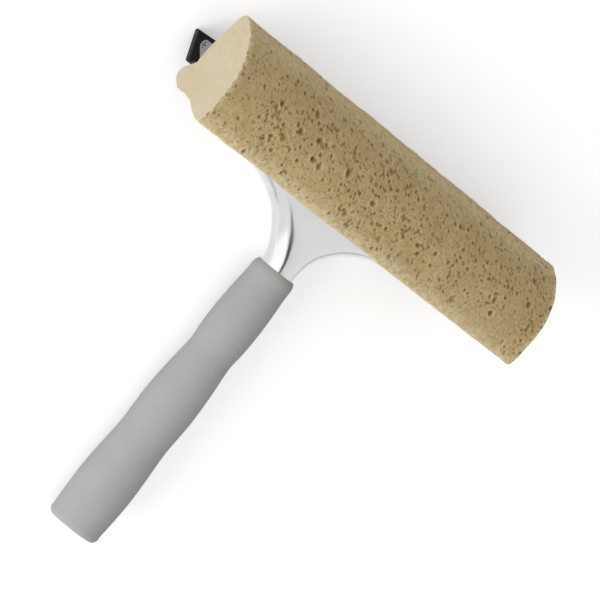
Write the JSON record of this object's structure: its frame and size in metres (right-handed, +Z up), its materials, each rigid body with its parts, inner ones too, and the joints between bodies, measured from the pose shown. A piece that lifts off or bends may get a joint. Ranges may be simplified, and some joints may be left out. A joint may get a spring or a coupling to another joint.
{
  "type": "window squeegee",
  "caption": "Hand window squeegee with a full-width sponge on one side of a T-shaped metal head, a rubber blade on the other side, and a contoured soft grip.",
  "frame": {"origin": "centre of the footprint, at the surface the tool lies on, with the sponge up", "axes": "+X along the head, +Y up the handle towards the head, +Z up, from the blade side to the sponge side"},
  "size_m": [0.2524, 0.2434, 0.0534],
  "materials": {
    "polished_aluminium": "polished",
    "zinc_plated_steel": "satin",
    "dark_plastic": "matte",
    "grey_grip_foam": "matte",
    "black_rubber": "satin",
    "tan_sponge": "matte"
  },
  "bodies": {
    "handle_and_rail": {"neck_casting": "polished_aluminium", "head_rail": "polished_aluminium", "handle_tube": "polished_aluminium", "rail_screw_left": "zinc_plated_steel", "rail_screw_middle": "zinc_plated_steel", "rail_screw_right": "zinc_plated_steel", "blade_lock_screw_left": "zinc_plated_steel", "blade_lock_screw_right": "zinc_plated_steel", "tang_pin": "zinc_plated_steel", "grip_sleeve": "grey_grip_foam", "end_plug": "dark_plastic"},
    "blade": {"rubber_blade": "black_rubber"},
    "sponge_insert": {"sponge": "tan_sponge", "sponge_backing_strip": "dark_plastic"}
  },
  "joints": [
    {"name": "blade_slide", "type": "slide", "parent": "handle_and_rail", "child": "blade", "axis": [1, 0, 0], "range_m": [-0.24, 0.24]},
    {"name": "sponge_slide", "type": "slide", "parent": "handle_and_rail", "child": "sponge_insert", "axis": [-1, 0, 0], "range_m": [0, 0.25]}
  ]
}
